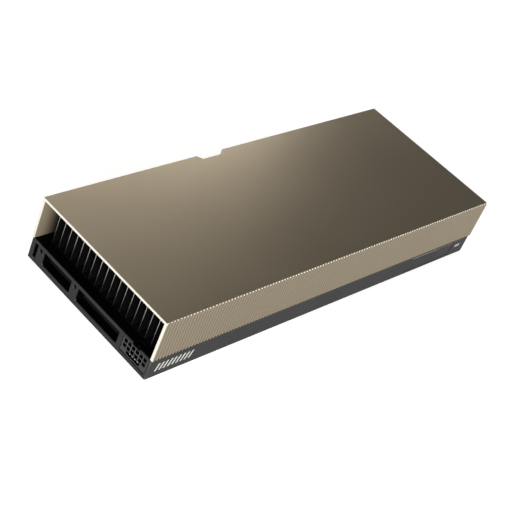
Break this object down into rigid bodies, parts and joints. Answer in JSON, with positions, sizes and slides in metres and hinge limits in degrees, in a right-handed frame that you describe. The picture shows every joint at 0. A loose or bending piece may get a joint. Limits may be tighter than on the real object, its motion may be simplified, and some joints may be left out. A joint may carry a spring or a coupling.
{
  "type": "passive accelerator card",
  "caption": "Passively cooled accelerator card: ribbed metal shroud over an open finned duct, black base frame and backplate, rear power socket and edge connector.",
  "frame": {"origin": "middle of the card's outline at the backplate's outer face", "axes": "+X along the card from the air inlet and power socket to the outlet end that takes a bracket; +Y towards the edge connector; +Z from the backplate up to the shroud's top"},
  "size_m": [0.2676, 0.1112, 0.039],
  "materials": {
    "shroud_alloy": "satin champagne anodised",
    "black_frame": "fine matt black coating",
    "black_plate": "fine matt black coating",
    "black_screw": "black zinc",
    "insulator_film": "matt film",
    "board_laminate": "dark solder mask",
    "gold_contact": "plated",
    "dark_plastic": "fine matt moulded",
    "black_housing": "satin moulded",
    "pin_metal": "tin plated",
    "sink_plate": "dark anodised",
    "copper_chamber": "plain copper",
    "fin_alloy": "plain rolled",
    "package_laminate": "satin laminate",
    "silicon": "polished",
    "ring_metal": "nickel plated",
    "ferrite": "pressed powder",
    "chip_mould": "matt moulded",
    "capacitor_case": "matt moulded",
    "gap_pad": "soft matt"
  },
  "bodies": {
    "root": {"backplate": "black_plate", "backplate_screws": "black_screw", "base_frame": "black_frame", "bridge_contacts": "gold_contact", "bridge_cover": "dark_plastic", "bulk_capacitors": "capacitor_case", "circuit_board": "board_laminate", "controller_chips": "chip_mould", "edge_contacts": "gold_contact", "fin_01": "fin_alloy", "fin_02": "fin_alloy", "fin_03": "fin_alloy", "fin_04": "fin_alloy", "fin_05": "fin_alloy", "fin_06": "fin_alloy", "fin_07": "fin_alloy", "fin_08": "fin_alloy", "fin_09": "fin_alloy", "fin_10": "fin_alloy", "fin_11": "fin_alloy", "fin_12": "fin_alloy", "fin_13": "fin_alloy", "fin_14": "fin_alloy", "fin_15": "fin_alloy", "fin_16": "fin_alloy", "fin_17": "fin_alloy", "heatsink_plate": "sink_plate", "heatsink_screws": "black_screw", "input_chokes": "ferrite", "insulator_sheet": "insulator_film", "memory_stacks": "silicon", "package_substrate": "package_laminate", "power_contacts": "pin_metal", "power_inductors": "ferrite", "power_receptacle": "black_housing", "power_stages": "chip_mould", "processor_die": "silicon", "sense_contacts": "pin_metal", "shroud": "shroud_alloy", "shroud_screws": "black_screw", "stiffener_ring": "ring_metal", "thermal_pads": "gap_pad", "vapour_chamber": "copper_chamber"}
  },
  "joints": []
}
